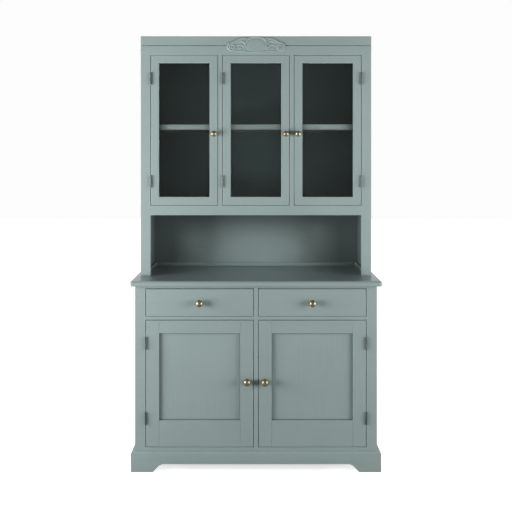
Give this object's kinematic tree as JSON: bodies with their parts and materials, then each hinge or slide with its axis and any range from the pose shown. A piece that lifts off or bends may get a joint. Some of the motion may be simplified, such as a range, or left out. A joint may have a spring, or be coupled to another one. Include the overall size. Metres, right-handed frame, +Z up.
{
  "type": "welsh dresser",
  "caption": "Painted welsh dresser: cupboard base with doors and drawers under a counter, and a hutch with glazed doors over an open niche.",
  "frame": {"origin": "middle of the footprint's bounding box, on the floor", "axes": "+Z up, +Y to the back, +X to the right as seen from the front"},
  "size_m": [1.2, 0.451, 2.094],
  "materials": {
    "painted_wood": "satin sage grey paint on wood",
    "raw_wood": "bare pine, sanded",
    "brass": "aged brass, polished on the ball",
    "hinge_steel": "dark bronzed steel",
    "glass": "clear float glass"
  },
  "bodies": {
    "carcass": {"base_side_left": "painted_wood", "base_side_right": "painted_wood", "base_floor": "painted_wood", "base_partition": "painted_wood", "base_back_panel": "painted_wood", "base_face_frame": "painted_wood", "counter_top": "painted_wood", "plinth": "painted_wood", "base_shelf_left": "painted_wood", "base_shelf_right": "painted_wood", "drawer_runner_frame_left": "raw_wood", "drawer_runner_frame_right": "raw_wood", "hutch_side_left": "painted_wood", "hutch_side_right": "painted_wood", "hutch_floor": "painted_wood", "hutch_shelf": "painted_wood", "hutch_top": "painted_wood", "hutch_back_panel": "painted_wood", "hutch_face_frame": "painted_wood", "hutch_foot_strip": "painted_wood", "cornice_board": "painted_wood", "crest_ornament": "painted_wood", "base_door_left_hinge_upper": "hinge_steel", "base_door_left_hinge_lower": "hinge_steel", "base_door_right_hinge_upper": "hinge_steel", "base_door_right_hinge_lower": "hinge_steel", "hutch_door_left_hinge_upper": "hinge_steel", "hutch_door_left_hinge_lower": "hinge_steel", "hutch_door_middle_hinge_upper": "hinge_steel", "hutch_door_middle_hinge_lower": "hinge_steel", "hutch_door_right_hinge_upper": "hinge_steel", "hutch_door_right_hinge_lower": "hinge_steel"},
    "base_door_left": {"base_door_left_hinge_stile": "painted_wood", "base_door_left_knob_stile": "painted_wood", "base_door_left_top_rail": "painted_wood", "base_door_left_bottom_rail": "painted_wood", "base_door_left_panel": "painted_wood", "base_door_left_knob": "brass"},
    "base_door_right": {"base_door_right_hinge_stile": "painted_wood", "base_door_right_knob_stile": "painted_wood", "base_door_right_top_rail": "painted_wood", "base_door_right_bottom_rail": "painted_wood", "base_door_right_panel": "painted_wood", "base_door_right_knob": "brass"},
    "hutch_door_left": {"hutch_door_left_frame": "painted_wood", "hutch_door_left_glass": "glass", "hutch_door_left_knob": "brass"},
    "hutch_door_middle": {"hutch_door_middle_frame": "painted_wood", "hutch_door_middle_glass": "glass", "hutch_door_middle_knob": "brass"},
    "hutch_door_right": {"hutch_door_right_frame": "painted_wood", "hutch_door_right_glass": "glass", "hutch_door_right_knob": "brass"},
    "drawer_left": {"drawer_left_front": "painted_wood", "drawer_left_box": "raw_wood", "drawer_left_knob": "brass"},
    "drawer_right": {"drawer_right_front": "painted_wood", "drawer_right_box": "raw_wood", "drawer_right_knob": "brass"}
  },
  "joints": [
    {"name": "base_door_left_swing", "type": "hinge", "parent": "carcass", "child": "base_door_left", "pos_m": [-0.5255, -0.1938, 0.414], "axis": [0, 0, -1], "range_deg": [0, 110]},
    {"name": "base_door_right_swing", "type": "hinge", "parent": "carcass", "child": "base_door_right", "pos_m": [0.5255, -0.1938, 0.414], "axis": [0, 0, 1], "range_deg": [0, 110]},
    {"name": "hutch_door_left_swing", "type": "hinge", "parent": "carcass", "child": "hutch_door_left", "pos_m": [-0.5225, -0.0748, 1.627], "axis": [0, 0, -1], "range_deg": [0, 110]},
    {"name": "hutch_door_middle_swing", "type": "hinge", "parent": "carcass", "child": "hutch_door_middle", "pos_m": [-0.1665, -0.0748, 1.627], "axis": [0, 0, -1], "range_deg": [0, 110]},
    {"name": "hutch_door_right_swing", "type": "hinge", "parent": "carcass", "child": "hutch_door_right", "pos_m": [0.5225, -0.0748, 1.627], "axis": [0, 0, 1], "range_deg": [0, 110]},
    {"name": "drawer_left_slide", "type": "slide", "parent": "carcass", "child": "drawer_left", "axis": [0, -1, 0], "range_m": [0, 0.26]},
    {"name": "drawer_right_slide", "type": "slide", "parent": "carcass", "child": "drawer_right", "axis": [0, -1, 0], "range_m": [0, 0.26]}
  ]
}
